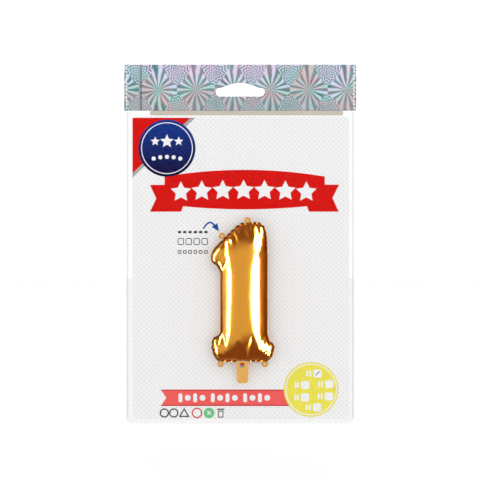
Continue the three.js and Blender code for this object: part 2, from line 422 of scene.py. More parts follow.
def ink(name, colour, shade=0.12, roughness=0.38, streak=None):
    """Printing ink: slightly mottled, with a faint sheen and a fine tooth."""
    s = Shader(name)
    darker = tuple(c * (1 - shade) for c in colour)
    s.principled(base_color=s.mix(s.noise(260.0), darker, streak or colour), specular_ior_level=INK_GLOSS)
    s.roughness(900.0, roughness - 0.06, roughness + 0.08)
    s.relief(3000.0, 0.08, 0.00002)
    return s.material


def graded_ink(name, lower, upper, bottom, top):
    """Ink that changes evenly from its lower colour to its upper one."""
    s = Shader(name)
    z = s.node("SeparateXYZ", s.place).outputs["Z"]
    share = s.node("MapRange", z, bottom * MM, top * MM, 0.0, 1.0).outputs[0]
    colour = s.mix(share, lower, upper)
    s.principled(base_color=s.mix(s.times(s.noise(400.0), 0.25), colour, lower))
    s.principled(specular_ior_level=INK_GLOSS)
    s.roughness(900.0, 0.3, 0.42)
    s.relief(3000.0, 0.08, 0.00002)
    return s.material


DOT_PITCH = 2.25


def card_stock():
    """Coated white card with a diagonal screen of faint grey dots."""
    s = Shader("card_stock")
    split = s.node("SeparateXYZ", s.place)
    x, z = split.outputs["X"], split.outputs["Z"]
    diagonal = DOT_PITCH * MM * math.sqrt(2)
    cells = []
    for shift in (0.0, 0.5):
        offsets = []
        for axis in (x, z):
            cell = s.math("FRACT", s.linear(axis, 1 / diagonal, shift))
            offsets.append(s.math("POWER", s.minus(cell, 0.5), 2.0))
        cells.append(s.plus(*offsets))
    nearest = s.math("MINIMUM", *cells)
    dot, dot_edge, ground = (0.63, 0.63, 0.64), (0.72, 0.72, 0.72), (0.91, 0.91, 0.905)
    dots = s.ramp(nearest, (0.0, dot), (0.008, dot_edge), (0.024, ground))
    s.principled(base_color=s.mix(s.times(s.noise(60.0), 0.08), dots, (0.82, 0.82, 0.81)))
    s.principled(specular_ior_level=0.1)
    s.roughness(500.0, 0.42, 0.55)
    s.relief(1800.0, 0.1, 0.00002, 4.0)
    return s.material


def gold_foil():
    """Metallised film under gold lacquer, with painted shade and dark reflection: deeper amber, brown and
    near black where the foil turns side-on towards the seam.
    """
    s = Shader("gold_foil")
    turn = s.node("Attribute", attribute_name="turn").outputs["Fac"]
    mottle = s.times(s.minus(s.noise(90.0, 3.0), 0.5), 0.16)
    # Painted shade and dark reflection: the ramp darkens the foil from gold to near black as it turns
    # side-on.
    painted_shade_tone = s.ramp(
        s.plus(turn, mottle),
        (0.0, (1.0, 0.48, 0.03)),
        (0.26, (1.0, 0.46, 0.035)),
        (0.42, (0.72, 0.25, 0.016)),
        (0.58, (0.30, 0.07, 0.008)),
        (0.84, (0.08, 0.013, 0.003)),
    )
    s.principled(base_color=painted_shade_tone, metallic=1.0, specular_tint=(0.85, 0.34, 0.07))
    s.roughness(220.0, 0.13, 0.23, 3.0)
    gloss = s.node("MapRange", turn, 0.3, 0.5, 0.9, 0.0).outputs[0]
    s.principled(coat_weight=gloss, coat_roughness=0.1, coat_ior=1.7)
    s.relief(420.0, 0.12, 0.00012, 3.0)
    return s.material


def satin_foil(name, colour, deep, roughness, metallic=0.75):
    """Flat foil film: gold for the tail and the tabs, and for the seam a near-black brown that is painted
    dark reflection.
    """
    s = Shader(name)
    s.principled(base_color=s.mix(s.noise(300.0, 3.0), deep, colour), metallic=metallic)
    s.roughness(700.0, roughness - 0.08, roughness + 0.08)
    s.relief(900.0, 0.3, 0.00006, 4.0)
    return s.material


def clear_film(name, reflect, tint):
    """Clear film: seen through, with its own gloss, which grows towards grazing angles."""
    s = Shader(name)
    s.principled(base_color=(0.95, 0.97, 0.98), metallic=1.0)
    s.roughness(45.0, 0.07, 0.16)
    clear = s.node("BsdfTransparent", (*tint, 1)).outputs[0]
    edge = s.node("LayerWeight", 0.3).outputs["Facing"]
    share = s.linear(s.math("POWER", edge, 3.0), 0.3, reflect)
    mixed = s.node("MixShader", share, clear, s.surface.outputs[0])
    s.relief(30.0, 0.15, 0.0004, 3.0)
    s.set(s.output.inputs["Surface"], mixed.outputs[0])
    return s.material


# The hologram's bursts: big ones in a row, and small ones halfway between them above and below.
BURST_PITCH = 24.35
BURST_X = -53.0
BURST_Z = -4.6
SMALL_BURST_RISE = 10.6


def burst(s, x, z, rays):
    """The row's nearest burst: its number, the distance to its centre in mm, and the angle in rays."""
    place = s.plus(s.math("DIVIDE", x, BURST_PITCH), 0.5)
    dx = s.times(s.minus(s.math("FRACT", place), 0.5), BURST_PITCH)
    distance = s.math("SQRT", s.plus(s.math("POWER", dx, 2.0), s.math("POWER", z, 2.0)))
    angle = s.times(s.math("ARCTAN2", z, dx), rays / (2 * math.pi))
    return s.math("FLOOR", place), distance, angle


def zigzag(s, value):
    """A wave from 0 to 1 and back over each unit of the value."""
    return s.times(s.math("PINGPONG", value, 0.5), 2.0)


def hologram():
    """Embossed holographic film with starbursts in teal, lavender, salmon and grey."""
    s = Shader("hologram")
    millimetres = s.vector("SCALE", s.place, (0, 0, 0))
    millimetres.node.inputs["Scale"].default_value = 1 / MM
    split = s.node("SeparateXYZ", millimetres)
    x = s.minus(split.outputs["X"], BURST_X)
    z = s.minus(split.outputs["Z"], BURST_Z)
    number, far, angle = burst(s, x, z, 15)
    key = s.node("CombineXYZ", s.math("FLOOR", angle), number, 0.0).outputs[0]
    chance = s.node("TexWhiteNoise", key).outputs["Value"]
    fan = s.node("CombineXYZ", s.times(angle, 3.1), number, s.times(far, 0.12))
    streak = s.noise(1.0, 2.0, place=fan.outputs[0])
    area = s.noise(38.0, 1.0)
    height = s.times(z, 0.028)
    patch = s.minus(s.linear(area, 1.5, -0.36), height)
    blend = s.linear(chance, 0.3, patch)
    light = s.ramp(
        blend,
        (0.12, (0.78, 0.70, 0.98)),
        (0.34, (0.66, 0.74, 0.96)),
        (0.50, (0.40, 0.76, 0.74)),
        (0.66, (0.74, 0.56, 0.60)),
        (0.86, (0.50, 0.57, 0.62)),
    )
    dark = s.ramp(
        s.plus(s.noise(80.0), s.linear(chance, 0.3, -0.15)),
        (0.30, (0.10, 0.22, 0.28)),
        (0.45, (0.14, 0.33, 0.38)),
        (0.58, (0.34, 0.25, 0.36)),
        (0.72, (0.18, 0.24, 0.29)),
    )
    rim_tint = s.ramp(s.noise(140.0), (0.42, (0.66, 0.30, 0.33)), (0.58, (0.16, 0.62, 0.55)))
    ray = s.plus(zigzag(s, angle), s.linear(streak, 1.3, -0.65))
    wedge = s.ramp(ray, (0.40, (0, 0, 0)), (0.66, (1, 1, 1)))
    rim = s.ramp(ray, (0.30, (0, 0, 0)), (0.44, (0.8, 0.8, 0.8)), (0.58, (0, 0, 0)))
    big = s.mix(rim, s.mix(wedge, dark, light), rim_tint)
    half = s.minus(x, BURST_PITCH / 2)
    folded = s.minus(s.math("ABSOLUTE", z), SMALL_BURST_RISE)
    _, near, fine_angle = burst(s, half, folded, 9)
    rings = s.linear(zigzag(s, fine_angle), 0.9, s.times(near, 0.46))
    fine = s.ramp(zigzag(s, rings), (0.3, (0.05, 0.05, 0.05)), (0.7, (0.95, 0.95, 0.95)))
    small = s.mix(fine, dark, light)
    share = s.minus(near, s.times(far, 0.62))
    chosen = s.ramp(s.linear(share, 0.25, 0.5), (0.5, (0, 0, 0)), (0.58, (1, 1, 1)))
    s.principled(base_color=s.mix(chosen, small, big), metallic=0.25)
    s.roughness(200.0, 0.3, 0.45)
    s.bump(wedge, 0.25, 0.00012)
    return s.material


def plain_film(name, colour, roughness, alpha):
    """Translucent film or tape with a soft mottle."""
    s = Shader(name)
    deep = tuple(c * 0.86 for c in colour)
    s.principled(base_color=s.mix(s.noise(120.0, 3.0, stretch=(0.2, 1, 1)), deep, colour))
    s.principled(alpha=alpha)
    s.roughness(300.0, roughness - 0.08, roughness + 0.1)
    s.relief(500.0, 0.12, 0.00005)
    return s.material


# ---- balloon ----

FOIL_SPACING = 0.8
SEAM_EXCESS = 1.95
END_EXCESS = 1.2
CRIMP_LENGTH = 3.7
CRIMP_DEPTH = 0.5
CRIMP_SWAY = 0.36
SEAM_WIDTH = 1.0
SEAM_INSET = 0.7
LONGER_ABOVE = 62  # the foil is cut longer from here up to the crown,
CROWN_SPAN = 27
BASE_SPAN = 16  # and over this much of the base
ROUNDS_TO_RELAX = 7
SHAFT_Z = 38  # the shaft's middle, and how far each way it keeps its puckers
SHAFT_KEPT = 20
DEPTH_ROOM = 0.1
SIM_SCALE = 20
SIM_FRAMES = 30
PULL_FRAMES = 20
CLOTH = {
    "vertex_group_mass": "seam",
    "quality": 6,
    "tension_stiffness": 120,
    "compression_stiffness": 120,
    "shear_stiffness": 60,
    "bending_stiffness": 3.5,
    "bending_damping": 0.5,
    "air_damping": 2,
    "use_pressure": True,
    "uniform_pressure_force": 22,
}


def balloon_outline():
    left = [*catmull(FLAG_SIDE), *catmull(LEFT_FOOT)]
    right = [*catmull(CROWN_SIDE), *catmull(RIGHT_FOOT)]
    return walk(np.array(left + right[::-1]), 0.5)[0]


def flat_pattern(outline):
    """The foil as it was cut: wider than the filled balloon along the shaft, and longer at both ends."""
    x, z = outline.T
    wider = SEAM_EXCESS * np.clip((x - SHAFT_MIDDLE) / SHAFT_HALF, -1, 1)
    longer = END_EXCESS * (smooth((z - LONGER_ABOVE) / CROWN_SPAN) - (1 - smooth(z / BASE_SPAN)))
    return np.stack([x + wider, z + longer], 1)


def outward(loop):
    """The direction out of the loop at each of its points."""
    along = np.roll(loop, -1, 0) - np.roll(loop, 1, 0)
    out = np.stack([along[:, 1], -along[:, 0]], 1) / np.hypot(*along.T)[:, None]
    turning = np.sum(loop[:, 0] * np.roll(loop[:, 1], -1) - np.roll(loop[:, 0], -1) * loop[:, 1])
    return out * np.sign(turning)


def crimped_seam(cut, seam):
    """The seam drawn in to its filled outline, scalloped and swaying where the cut foil is too long."""
    step = np.hypot(*(np.roll(seam, -1, 0) - seam).T)
    cut_step = np.hypot(*(np.roll(cut, -1, 0) - cut).T)
    spare = np.clip(cut_step / np.maximum(step, 1e-6) - 1.02, 0, 0.16) / 0.16
    for _ in range(4):
        spare = spare / 2 + (np.roll(spare, 1) + np.roll(spare, -1)) / 4
    along = np.cumsum(step) - step[0]
    phase = 2 * math.pi * along / CRIMP_LENGTH + 1.3 * np.sin(along / 7.3) + 0.8 * np.sin(along / 2.9 + 1)
    scallop = CRIMP_DEPTH * spare * (np.cos(phase) - 0.3)
    sway = CRIMP_SWAY * spare * np.sin(phase + 0.7)
    return seam + outward(seam) * (scallop - SEAM_INSET)[:, None], sway


def foil_bag():
    """The cut foil as a closed bag of two sheets that share their seam, and the seam's filled place."""
    outline = balloon_outline()
    pattern = flat_pattern(outline)
    cut, place = walk(pattern, FOIL_SPACING)
    seam, sway = crimped_seam(cut, at(outline, place))
    flat, faces = triangulate([cut], FOIL_SPACING)
    faces = facing_front(flat, faces)
    n, rim = len(flat), len(cut)
    inner = np.arange(rim, n)
    front = np.stack([flat[:, 0], np.where(np.arange(n) < rim, 0, -0.3), flat[:, 1]], 1)
    back = front[inner] * (1, -1, 1)
    mirrored = np.r_[np.arange(rim), np.arange(n, n + len(inner))]
    points = np.vstack([front, back])
    target = np.stack([seam[:, 0], sway, seam[:, 1]], 1)
    return points, faces, mirrored[faces][:, ::-1], target


def inflate(points, faces, target):
    """Cloth simulation: the seam is drawn in to target while air pressure fills the bag."""
    scale = SIM_SCALE * MM
    mesh = bpy.data.meshes.new("foil_simulation")
    mesh.from_pydata((points * scale).tolist(), [], faces.tolist())
    bag = bpy.data.objects.new("foil_simulation", mesh)
    scene = bpy.context.scene
    scene.collection.objects.link(bag)
    bag.shape_key_add(name="cut")
    drawn = bag.shape_key_add(name="drawn_in")
    for i, place in enumerate(target * scale):
        drawn.data[i].co = place
    for value, when in ((0, 1), (1, PULL_FRAMES)):
        drawn.value = value
        drawn.keyframe_insert("value", frame=when)
    bag.vertex_groups.new(name="seam").add(list(range(len(target))), 1.0, "REPLACE")
    cloth = bag.modifiers.new("cloth", "CLOTH")
    for key, value in CLOTH.items():
        setattr(cloth.settings, key, value)
    cloth.settings.effector_weights.gravity = 0
    cloth.collision_settings.use_collision = False
    cloth.point_cache.frame_end = SIM_FRAMES
    scene.frame_end = SIM_FRAMES
    for step in range(1, SIM_FRAMES + 1):
        scene.frame_set(step)
    filled = bag.evaluated_get(bpy.context.evaluated_depsgraph_get())
    result = np.array([v.co[:] for v in filled.data.vertices]) / scale
    bpy.data.objects.remove(bag)
    scene.frame_set(1)
    return result


def relax(points, faces, fixed, rounds):
    """Smooths the points that aren't fixed, most of all at the two ends of the number."""
    from_middle = np.abs(points[fixed:, 2] - SHAFT_Z)
    share = 0.12 + 0.38 * smooth((from_middle - SHAFT_KEPT) / 10)[:, None]
    a = np.r_[faces[:, 0], faces[:, 1], faces[:, 2]]
    b = np.r_[faces[:, 1], faces[:, 2], faces[:, 0]]
    count = np.bincount(np.r_[a, b], minlength=len(points))[:, None]
    for _ in range(rounds):
        total = np.zeros_like(points)
        np.add.at(total, a, points[b])
        np.add.at(total, b, points[a])
        mean = total / np.maximum(count, 1)
        points[fixed:] += share * (mean[fixed:] - points[fixed:])
    return points


def subdivide(piece, levels):
    """Applies a subdivision surface."""
    modifier = piece.modifiers.new("round", "SUBSURF")
    modifier.levels = modifier.render_levels = levels
    apply_modifiers(piece)


def apply_modifiers(piece):
    filled = piece.evaluated_get(bpy.context.evaluated_depsgraph_get())
    mesh = bpy.data.meshes.new_from_object(filled)
    piece.modifiers.clear()
    piece.data = mesh


def vertex_values(piece, key):
    """Each vertex's three values of that key."""
    values = np.empty(len(piece.data.vertices) * 3, np.float32)
    piece.data.vertices.foreach_get(key, values)
    return values.reshape(-1, 3)


def set_painted_shade(piece):
    """Stores the foil's painted shade: 0 where it faces front or back, 1 where it is side-on, a little more
    where it faces right and less where it faces left.
    """
    sideways, facing, _ = vertex_values(piece, "normal").T
    turn = 1 - np.abs(facing) + np.where(sideways > 0, 0.22, 0.05) * sideways
    attribute = piece.data.attributes.new("turn", "FLOAT", "POINT")
    attribute.data.foreach_set("value", turn.astype(np.float32))


def give_thickness(piece, thickness, offset=-1.0, sharp=True):
    modifier = piece.modifiers.new("thickness", "SOLIDIFY")
    modifier.thickness = thickness * MM
    modifier.offset = offset
    apply_modifiers(piece)
    if sharp:
        piece.data.set_sharp_from_angle(angle=SHARP)


NECK_HALF = 3.4
NECK_GAP = 0.32


def open_neck(points, side):
    """Parts the sheet from its partner at the neck, where the valve passes through the seam."""
    x, z = points[:, 0] - (TAIL_X - ORIGIN_X), points[:, 2]
    near = smooth((NECK_HALF + 1.2 - np.abs(x)) / 1.6) * smooth((3.5 - z) / 3)
    points[:, 1] += side * NECK_GAP * near
    return points


def balloon_half(name, node, points, faces, rim, side, depth, material):
    """One sheet of the balloon, moved into the pack and swelling by depth."""
    half, faces = only_used(points, faces)
    half[:, 1] *= depth / np.abs(half[rim:, 1]).max()
    half = open_neck(half, side) + (ORIGIN_X, SEAM_Y, ORIGIN_Z)
    piece = new_object(name, half, faces, material)
    subdivide(piece, 1)
    set_painted_shade(piece)
    give_thickness(piece, FILM)
    return declare(piece, "bag", "gold_foil", node)


def seam_flange(target, material):
    """The welded rim outside the seam: a narrow band that keeps the seam's scallops and sway."""
    loop = target[:, [0, 2]]
    out = outward(loop)
    along = np.cumsum(np.hypot(*(np.roll(loop, -1, 0) - loop).T))
    ruffle = 0.12 * np.sin(along * 2 * math.pi / 1.7)
    bands = []
    for share in (-0.15, 0.35, 0.8, 1.0):
        flat = loop + out * SEAM_WIDTH * share
        y = target[:, 1] * (1 + 0.8 * share) + ruffle * max(share, 0)
        bands.append(np.stack([flat[:, 0], y, flat[:, 1]], 1))
    n = len(loop)
    keep = ~((np.abs(loop[:, 0] - (TAIL_X - ORIGIN_X)) < NECK_HALF) & (loop[:, 1] < 1.5))
    faces = ring_faces(len(bands), n)
    points, faces = only_used(np.vstack(bands), faces[keep[faces % n].all(1)])
    piece = new_object("balloon_seam", points + (ORIGIN_X, SEAM_Y, ORIGIN_Z), faces, material)
    give_thickness(piece, 0.12, 0.0, sharp=False)
    return declare(piece, "bag", "gold_foil")


def build_balloon(foil, seam_foil_painted_dark):
    points, front, back, target = foil_bag()
    rim = len(target)
    filled = inflate(points, np.vstack([front, back]), target)
    filled = relax(filled, np.vstack([front, back]), rim, ROUNDS_TO_RELAX)
    front_depth = SEAM_Y - FOIL_LOW[1] - DEPTH_ROOM
    back_depth = REAR_HIGH[1] - SEAM_Y - DEPTH_ROOM
    sheets = [
        balloon_half("balloon_front", "balloon_front_film", filled, front, rim, -1, front_depth, foil),
        balloon_half("balloon_back", "balloon_back_film", filled, back, rim, 1, back_depth, foil),
    ]
    return [*sheets, seam_flange(target, seam_foil_painted_dark)]


# ---- hanging tabs, tail and valve ----

TABS = {
    "top": ((2.6, 89), 0),
    "flag": ((-12.7, 79.4), 43),
    "base_left": ((-14.6, 0), 180),
    "base_right": ((13.9, 0), 180),
}
TAB_RADIUS = 2.1
TAB_HOLE = 0.68
TAB_CENTRE = 1.5
TAB_FOOT = -0.15
TAB_SIDES = 48
# Each ring of the tab's face: its radius, and how far it stands off the tab's middle plane.
TAB_RINGS = [
    (TAB_HOLE, 0.02),
    (TAB_HOLE + 0.12, 0.13),
    (1.15, 0.15),
    (1.5, 0.09),
    (1.95, 0.08),
    (TAB_RADIUS, 0.02),
]
MARK_FORWARD = 0.8  # the valve mark lies on the tail's swelling, this far forward of the seam


def tab_points(side):
    """One face of a ring round a hole: rounded at both rims, with a flat foot at the seam."""
    turn = np.arange(TAB_SIDES) * 2 * math.pi / TAB_SIDES
    points = []
    for radius, height in TAB_RINGS:
        ring = np.stack([radius * np.cos(turn), np.full(TAB_SIDES, side * height), radius * np.sin(turn)], 1)
        ring[:, 2] = np.maximum(ring[:, 2] + TAB_CENTRE, TAB_FOOT)
        ring[:, 1] += 0.05 * np.sin(2 * turn + radius)
        points.append(ring)
    return np.vstack(points)


def tab_faces():
    """The tab's two faces, and the walls round its hole and its outside."""
    total = len(TAB_RINGS) * TAB_SIDES
    front = ring_faces(len(TAB_RINGS), TAB_SIDES)
    i = np.arange(TAB_SIDES)
    j = (i + 1) % TAB_SIDES
    hole = np.stack([i, j, j + total, i + total], 1)
    return np.vstack([front, front[:, [1, 0, 3, 2]] + total, hole[:, ::-1], hole + total - TAB_SIDES])


def hanging_tab(name, place, turn, material):
    points = np.vstack([tab_points(-1), tab_points(1)])
    c, s = math.cos(math.radians(turn)), math.sin(math.radians(turn))
    x, z = points[:, 0].copy(), points[:, 2].copy()
    points[:, 0] = c * x - s * z + place[0] + ORIGIN_X
    points[:, 2] = s * x + c * z + place[1] + ORIGIN_Z
    points[:, 1] += SEAM_Y
    piece = new_object("hanging_tab_" + name + "_film", points, tab_faces(), material)
    fix_normals(piece)
    foot = Vector((place[0] + ORIGIN_X, SEAM_Y, place[1] + ORIGIN_Z)) * MM
    out = Vector((-s, 0, c)) * MM
    bodies = ("bag", "tab_" + name)
    declare_blend(piece, bodies, foot - out * 0.2, foot + out * 0.9, "gold_foil", "hanging_tab_" + name)


def fix_normals(piece):
    shape = bmesh.new()
    shape.from_mesh(piece.data)
    bmesh.ops.remove_doubles(shape, verts=shape.verts, dist=1e-7)
    bmesh.ops.recalc_face_normals(shape, faces=shape.faces)
    shape.to_mesh(piece.data)
    shape.free()


def tail_sheet(name, node, side, material):
    """One layer of the tail: closed at its edges, and standing off the valve in the middle."""
    left, right = TAIL_LOW[0], TAIL_HIGH[0]
    bottom, top = TAIL_LOW[2], ORIGIN_Z + 0.5
    loop, _ = walk(rounded(left, right, bottom, top, 1.9), 0.45)
    flat, faces = triangulate([loop], 0.45)
    across = np.abs(flat[:, 0] - TAIL_X) / (right - left) * 2
    up = (flat[:, 1] - bottom) / (top - bottom)
    lift = 0.16 + 0.42 * smooth((1 - across) / 0.35) * smooth((up - 0.02) / 0.3)
    crinkle = [0.07 * noise.noise(Vector((x * 0.5, z * 0.9, 3.0 * side))) for x, z in flat]
    y = SEAM_Y + side * lift + np.array(crinkle) - FILM / 2
    piece = thick_sheet(name, flat, faces, y, FILM, material)
    start, end = on_axis(ORIGIN_Z + 0.4), on_axis(ORIGIN_Z - 1.2)
    declare_blend(piece, ("bag", "tail"), start, end, "tail_foil", node)


def valve_sheet(name, node, side, material):
    loop, _ = walk(rounded(VALVE_LOW[0], VALVE_HIGH[0], VALVE_LOW[2], VALVE_HIGH[2], 0.5), 0.6)
    piece = filled_sheet(name, [loop], 0.8, SEAM_Y + side * 0.12 - FILM / 2, FILM, material)
    declare_blend(piece, ("bag", "tail"), on_axis(ORIGIN_Z + 2), on_axis(ORIGIN_Z - 1), "valve_film", node)


def valve_mark(red, grey):
    """The round mark on the tail: red above, grey below."""
    x, z = (LABEL_LOW[0] + LABEL_HIGH[0]) / 2, (LABEL_LOW[2] + LABEL_HIGH[2]) / 2
    radius = (LABEL_HIGH[0] - LABEL_LOW[0]) / 2
    y = SEAM_Y - MARK_FORWARD
    halves = (("valve_mark_upper", 0, 180, red), ("valve_mark_lower", 180, 360, grey))
    for name, start, end, material in halves:
        half = filled_sheet(name, [arc(x, z, radius, start, end, 25)], None, y, 0.08, material, False)
        declare(half, "tail", "valve_label", "valve_label")


def build_tail_and_tabs(tab_foil, tail_foil):
    for name, (place, turn) in TABS.items():
        hanging_tab(name, place, turn, tab_foil)
    tail_sheet("tail_front", "tail_front_film", -1, tail_foil)
    tail_sheet("tail_back", "tail_back_film", 1, tail_foil)
    milky = plain_film("valve_plastic", (0.86, 0.84, 0.78), 0.3, 0.5)
    valve_sheet("valve_front", "valve_front_film", -1, milky)
    valve_sheet("valve_back", "valve_back_film", 1, milky)
    valve_mark(ink("mark_red", (0.62, 0.035, 0.03)), ink("mark_grey", (0.28, 0.3, 0.3)))


# ---- card ----

PRINT = 0.02
PRINT_STEP = 0.022


def printed(name, loops, level, material):
    """A printed shape on the card. A higher level lies over a lower one."""
    loops = [np.asarray(loop, float) for loop in loops]
    y = CARD_LOW[1] - PRINT_STEP * level - PRINT
    return declare(filled_sheet(name, loops, None, y, PRINT, material, False), "bag", "card")


def ring(x, z, outer, inner, count=96):
    """The two loops of a round ring."""
    return [circle(x, z, outer, count), circle(x, z, inner, count)]


def block(x, z, width, height, radius, count=6):
    """A rectangle with round corners, placed by its middle."""
    return rounded(x - width / 2, x + width / 2, z - height / 2, z + height / 2, radius, count)


def stroke(points, width):
    """The outline of a line of that width through the points."""
    p = np.asarray(points, float)
    along = np.gradient(p, axis=0)
    side = np.stack([-along[:, 1], along[:, 0]], 1) / np.hypot(*along.T)[:, None] * width / 2
    return np.vstack([p + side, (p - side)[::-1]])


def bowed(x0, x1, z_ends, z_middle, count=24):
    """A shallow arc from x0 to x1, higher or lower in its middle."""
    t = np.linspace(0, 1, count)
    return np.stack([x0 + (x1 - x0) * t, z_ends + (z_middle - z_ends) * 4 * t * (1 - t)], 1)


FLASH_WIDTH = 37.5
FLASH_HEIGHT = 35.9
STRIPE_WIDTH = 3.0
STRIPE_HEIGHT = 2.8


def corner_flash(red, grey):
    """The red corner and the grey stripe along it."""
    left, top = CARD_LOW[0], CARD_HIGH[2] - 0.8
    side, foot = left + FLASH_WIDTH, top - FLASH_HEIGHT
    printed("corner_flash", [[(left, top), (left, foot), (side, top)]], 1, red)
    stripe = [(left, foot), (left, foot - STRIPE_HEIGHT), (side + STRIPE_WIDTH, top), (side, top)]
    printed("corner_stripe", [stripe], 1, grey)


BADGE = (-47.3, -42.4)
BADGE_RADIUS = 18.4


def badge(blue, white):
    """The round badge: three stars over a row of dots."""
    x, z = BADGE
    printed("badge", [circle(x, z, BADGE_RADIUS, 96)], 3, blue)
    printed("badge_ring", ring(x, z, 16.7, 16.15), 4, white)
    for i, (dx, radius) in enumerate(((-7.6, 3.1), (0, 4.6), (7.6, 3.1))):
        printed(f"badge_star_{i + 1}", [star(x + dx, z + 4.4, radius)], 4, white)
    for i in range(5):
        dx = (i - 2) * 4.3
        printed(f"badge_dot_{i + 1}", [circle(x + dx, z - 5.6 - 0.12 * dx * dx / 8, 1.35, 24)], 4, white)


def banner(red, white):
    """The bowed banner with its folded ends and seven stars."""
    top = bowed(-48.8, 54.6, -60.7, -56.4)
    bottom = bowed(43.1, -36.9, -79.9, -81.9)
    right = [(54.6, -66.0), (63.9, -66.0), (59.6, -74.5), (63.6, -83.4), (44.4, -83.4)]
    left = [(-38.1, -83.4), (-58.3, -83.4), (-54.2, -74.9), (-58.3, -66.1), (-48.8, -66.1)]
    printed("banner", [np.vstack([top, right, bottom, left])], 2, red)
    for i in range(7):
        share = (i - 3) / 3
        x, z = 2.2 + share * 40.5, -69.6 - 1.1 * share * share
        printed(f"banner_star_{i + 1}", [star(x, z, 6.9, inner=0.5)], 3, white)


def pointer(blue):
    """The arrow that points at the flag's tab."""
    curve = catmull([(-23.9, -94.4), (-21.4, -91.3), (-18.9, -90.4), (-16.6, -92.2)], 8)
    printed("pointer_line", [stroke(curve, 1.1)], 2, blue)
    printed("pointer_head", [[(-18.5, -93.2), (-14.7, -90.8), (-13.7, -96.2)]], 2, blue)


def note_lines(grey):
    """Three rows of short strokes where the card carries a note."""
    rows = ((-96.6, 1.5, 6, 2.1), (-102.7, 4.4, 4, 4.1), (-109.4, 2.3, 6, 2.3))
    for r, (z, height, count, width) in enumerate(rows):
        pitch = 20.5 / count
        for i in range(count):
            x = -40.9 + pitch * (i + 0.5)
            loops = [block(x, z, width, height, height * 0.22, 4)]
            if height > 2:
                loops.append(block(x, z, width - 1, height - 1, 0.2, 4))
            printed(f"note_{r + 1}_{i + 1}", loops, 1, grey)


def ribbon(pink, edge, white):
    """The notched ribbon: rods and dots on it stand for lettering."""
    left, right, bottom, top, notch = -51.2, 41.0, -208.9, -198.3, 3.5
    middle = (bottom + top) / 2
    body = [(left, bottom), (right, bottom), (right, top), (left, top), (left + notch, middle)]
    printed("ribbon", [body], 1, pink)
    for name, z in (("ribbon_edge_top", top), ("ribbon_edge_bottom", bottom + 0.7)):
        printed(name, [rectangle(left, right, z - 0.7, z)], 2, edge)
    for i in range(12):
        x = -38.6 + 4.75 * i + 1.9 * (i // 4)
        shape = circle(x, middle, 1.9, 24) if i % 2 else block(x, middle, 2.5, 5.8, 1.1, 5)
        printed(f"ribbon_mark_{i + 1}", [shape], 3, white)


SIZE_DISC = (45.8, -198.2)
# Each tick box's middle, and how far to its left its outer mark stands.
SIZE_BOXES = [
    (49.9, -187.9, 6.6),
    (42.0, -195.4, 6.2),
    (57.5, -194.8, 6.6),
    (41.8, -203.3, 6.2),
    (57.2, -202.7, 6.6),
    (49.6, -209.8, 6.6),
]
INNER_MARK = 4.6


def size_disc(yellow, white, tick):
    """The yellow disc with its six tick boxes."""
    printed("size_disc", [circle(*SIZE_DISC, 17.65, 96)], 4, yellow)
    printed("size_ring", ring(*SIZE_DISC, 16.7, 16.05), 5, white)
    for i, (x, z, outer_mark) in enumerate(SIZE_BOXES):
        printed(f"size_box_{i + 1}", [block(x, z, 5.2, 5.2, 1.1)], 5, white)
        for k, left in enumerate((outer_mark, INNER_MARK)):
            printed(f"size_mark_{i + 1}_{k + 1}", [block(x - left, z, 1.2, 3.8, 0.5, 4)], 5, white)
    x, z, _ = SIZE_BOXES[0]
    line = [(x - 1.3, z - 1.2), (x + 0.1, z + 0.1), (x + 1.4, z + 1.4)]
    printed("size_tick", [stroke(line, 0.5)], 6, tick)


CARE_Z = -213.4


def care_marks(dark, red, green):
    """A row of small plain marks along the card's foot."""
    z = CARE_Z
    printed("care_dot_1", ring(-49.0, z, 3.0, 2.2, 40), 1, dark)
    printed("care_dot_2", ring(-42.9, z, 3.0, 2.2, 40), 1, dark)
    printed("care_triangle", [star(-36.2, z - 0.6, size, 3, 0.5) for size in (4.0, 2.5)], 1, dark)
    printed("care_ring", ring(-27.9, z, 3.4, 2.6, 48), 1, red)
    printed("care_disc", [circle(-20.1, z, 3.4, 48)], 1, green)
    printed("care_leaf", [star(-20.1, z, 2.1, 4, 0.45, 45)], 2, ink("care_pale_ink", (0.7, 0.86, 0.72)))
    box = [block(-12.6, z - 0.75, 3.6, 4.5, 0.6, 4), block(-12.6, z - 0.75, 2.4, 3.3, 0.4, 4)]
    printed("care_box", box, 1, dark)
    printed("care_lid", [block(-12.6, z + 2.4, 4.8, 0.8, 0.3, 4)], 1, dark)


def build_card():
    loop, _ = walk(rounded(CARD_LOW[0], CARD_HIGH[0], CARD_LOW[2], CARD_HIGH[2], 1.2), 4.0)
    thickness = CARD_HIGH[1] - CARD_LOW[1]
    board = filled_sheet("card", [loop], 6.0, CARD_LOW[1], thickness, card_stock(), False)
    declare(board, "bag", "card", "insert_card")
    red = ink("banner_red", (0.70, 0.0005, 0.0005), streak=(0.76, 0.001, 0.0005))
    white = ink("print_white", (0.91, 0.91, 0.91), 0.03)
    grey = ink("stripe_grey", (0.42, 0.42, 0.42))
    dark = ink("note_grey", (0.05, 0.05, 0.055))
    blue = ink("pointer_blue", (0.003, 0.09, 0.38))
    navy, royal = (0.0005, 0.001, 0.055), (0.0015, 0.04, 0.30)
    corner_flash(red, grey)
    badge(graded_ink("badge_blue", navy, royal, BADGE[1] - 14, BADGE[1] + 18), white)
    banner(red, white)
    pointer(blue)
    note_lines(dark)
    ribbon(ink("ribbon_pink", (0.95, 0.125, 0.12)), ink("ribbon_edge", (0.6, 0.035, 0.035)), white)
    size_disc(ink("size_yellow", (0.90, 0.82, 0.10)), white, blue)
    care_marks(dark, ink("care_red", (0.72, 0.04, 0.035)), ink("care_green", (0.16, 0.6, 0.26)))


# ---- header ----

